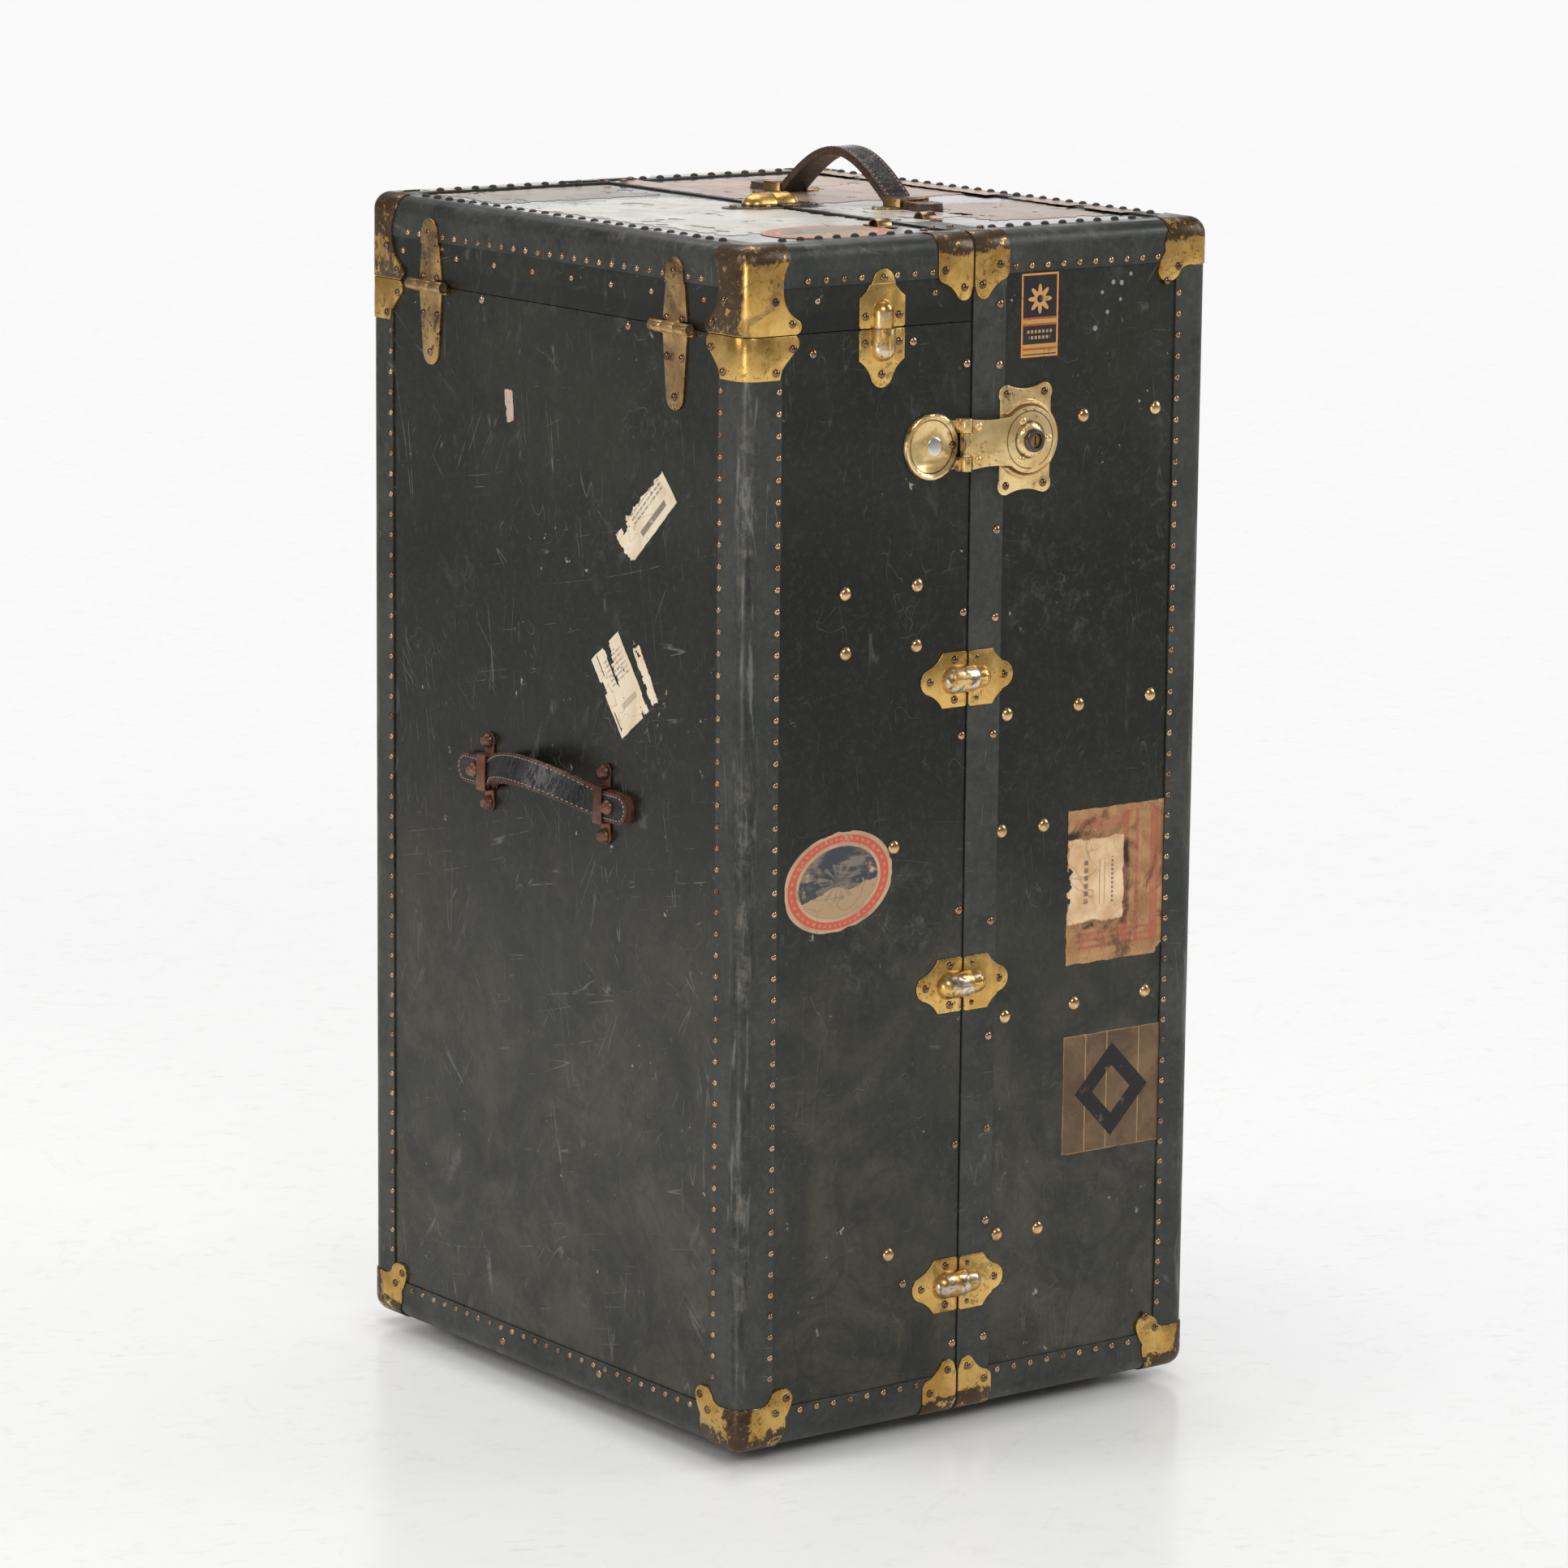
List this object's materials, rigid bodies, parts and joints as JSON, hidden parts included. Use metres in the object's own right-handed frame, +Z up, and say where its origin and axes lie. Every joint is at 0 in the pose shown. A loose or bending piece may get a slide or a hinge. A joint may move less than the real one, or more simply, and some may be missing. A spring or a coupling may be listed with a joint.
{
  "type": "wardrobe trunk",
  "caption": "Upright wardrobe trunk that opens like a book: hanging half with lift-up lid and trolley, drawer half, brass fittings, leather handles.",
  "frame": {"origin": "middle of the floor area under the trunk, at the underside of its runners", "axes": "+Z up, +X to the right along the front from the hanging half to the drawer half, +Y to the back"},
  "size_m": [0.5684, 0.5865, 1.0695],
  "materials": {
    "painted_fibre": "dark green-grey paint on vulcanised fibre over plywood, scuffed",
    "fibre_binding": "vulcanised fibre, dark green, rubbed",
    "pressed_brass": "pressed sheet, aged",
    "hinge_metal": "plated strap, aged",
    "hinge_pin": "drawn wire",
    "lock_brass": "polished, worn",
    "lock_steel": "dark plated ring round the key's plug",
    "lock_plug": "turned, with a keyway",
    "side_handle_leather": "black, stitched, edges worn red-brown",
    "top_handle_leather": "dark brown, worn",
    "handle_loop": "brass plate worn to rust",
    "top_handle_loop": "pressed sheet, aged",
    "handle_bolt": "domed, rusty",
    "dark_staple": "blackened strip",
    "plated_steel": "nickel plated strip and rod",
    "trolley_steel": "nickel plated",
    "hanger_wood": "varnished beech",
    "runner_wood": "hardwood, dirty",
    "carcass_board": "thin ply lined with patterned paper",
    "slide_wood": "planed beech",
    "drawer_wood": "ply trays, fronts covered in cloth",
    "pull_leather": "folded tan leather"
  },
  "bodies": {
    "wardrobe_half": {"wardrobe_shell": "painted_fibre", "wardrobe_binding": "fibre_binding", "closing_strip": "plated_steel", "wardrobe_seam_caps": "pressed_brass", "wardrobe_foot_caps": "pressed_brass", "wardrobe_edge_clips": "pressed_brass", "lid_hinge_lower_leaves": "hinge_metal", "lid_hinge_pins": "hinge_pin", "lid_dowel_hood": "pressed_brass", "split_dowel_hoods": "pressed_brass", "hasp_plate": "lock_brass", "hasp_pin": "hinge_pin", "left_handle_leather": "side_handle_leather", "left_handle_loops": "handle_loop", "left_handle_bolts": "handle_bolt", "wardrobe_runners": "runner_wood", "main_hinge_wardrobe_leaves": "hinge_metal", "main_hinge_pins": "hinge_pin", "hanger_rails": "plated_steel"},
    "lid": {"lid_shell": "painted_fibre", "lid_binding": "fibre_binding", "lid_corner_caps": "pressed_brass", "lid_edge_clips": "pressed_brass", "lid_hinge_upper_leaves": "hinge_metal", "lid_dowel_tongue": "pressed_brass", "top_dowel_lid_plate": "pressed_brass", "lid_staple": "dark_staple"},
    "drawer_half": {"drawer_half_shell": "painted_fibre", "drawer_half_binding": "fibre_binding", "split_band": "fibre_binding", "drawer_half_corner_caps": "pressed_brass", "drawer_half_edge_clips": "pressed_brass", "split_dowel_tongues": "pressed_brass", "top_dowel_half_plate": "pressed_brass", "drawer_half_staple": "dark_staple", "lock_base": "lock_brass", "top_handle_leather": "top_handle_leather", "top_handle_loops": "top_handle_loop", "right_handle_leather": "side_handle_leather", "right_handle_loops": "handle_loop", "right_handle_bolts": "handle_bolt", "drawer_half_runners": "runner_wood", "main_hinge_drawer_leaves": "hinge_metal", "drawer_carcass": "carcass_board", "drawer_slides": "slide_wood"},
    "trolley": {"hanger_trolley": "trolley_steel", "hangers": "hanger_wood"},
    "hasp": {"hasp_flap": "lock_brass", "lock_housing": "lock_steel"},
    "lock_plug": {"lock_plug": "lock_plug"},
    "drawer_1": {"drawer_1": "drawer_wood", "drawer_1_pull": "pull_leather"},
    "drawer_2": {"drawer_2": "drawer_wood", "drawer_2_pull": "pull_leather"},
    "drawer_3": {"drawer_3": "drawer_wood", "drawer_3_pull": "pull_leather"},
    "drawer_4": {"drawer_4": "drawer_wood", "drawer_4_pull": "pull_leather"},
    "drawer_5": {"drawer_5": "drawer_wood", "drawer_5_pull": "pull_leather"}
  },
  "joints": [
    {"name": "lid_hinge", "type": "hinge", "parent": "wardrobe_half", "child": "lid", "pos_m": [-0.25, 0, 0.951], "axis": [0, -1, 0], "range_deg": [0, 110]},
    {"name": "main_hinge", "type": "hinge", "parent": "wardrobe_half", "child": "drawer_half", "pos_m": [-0.0115, 0.285, 0.512], "axis": [0, 0, 1], "range_deg": [0, 180]},
    {"name": "hasp_hinge", "type": "hinge", "parent": "wardrobe_half", "child": "hasp", "pos_m": [-0.021, -0.285, 0.849], "axis": [0, 0, -1], "range_deg": [0, 160]},
    {"name": "key_turn", "type": "hinge", "parent": "hasp", "child": "lock_plug", "pos_m": [0.045, -0.29, 0.849], "axis": [0, -1, 0], "range_deg": [0, 90]},
    {"name": "trolley_slide", "type": "slide", "parent": "wardrobe_half", "child": "trolley", "axis": [1, 0, 0], "range_m": [0, 0.17]},
    {"name": "drawer_1_slide", "type": "slide", "parent": "drawer_half", "child": "drawer_1", "axis": [-1, 0, 0], "range_m": [0, 0.2]},
    {"name": "drawer_2_slide", "type": "slide", "parent": "drawer_half", "child": "drawer_2", "axis": [-1, 0, 0], "range_m": [0, 0.2]},
    {"name": "drawer_3_slide", "type": "slide", "parent": "drawer_half", "child": "drawer_3", "axis": [-1, 0, 0], "range_m": [0, 0.2]},
    {"name": "drawer_4_slide", "type": "slide", "parent": "drawer_half", "child": "drawer_4", "axis": [-1, 0, 0], "range_m": [0, 0.2]},
    {"name": "drawer_5_slide", "type": "slide", "parent": "drawer_half", "child": "drawer_5", "axis": [-1, 0, 0], "range_m": [0, 0.2]}
  ]
}
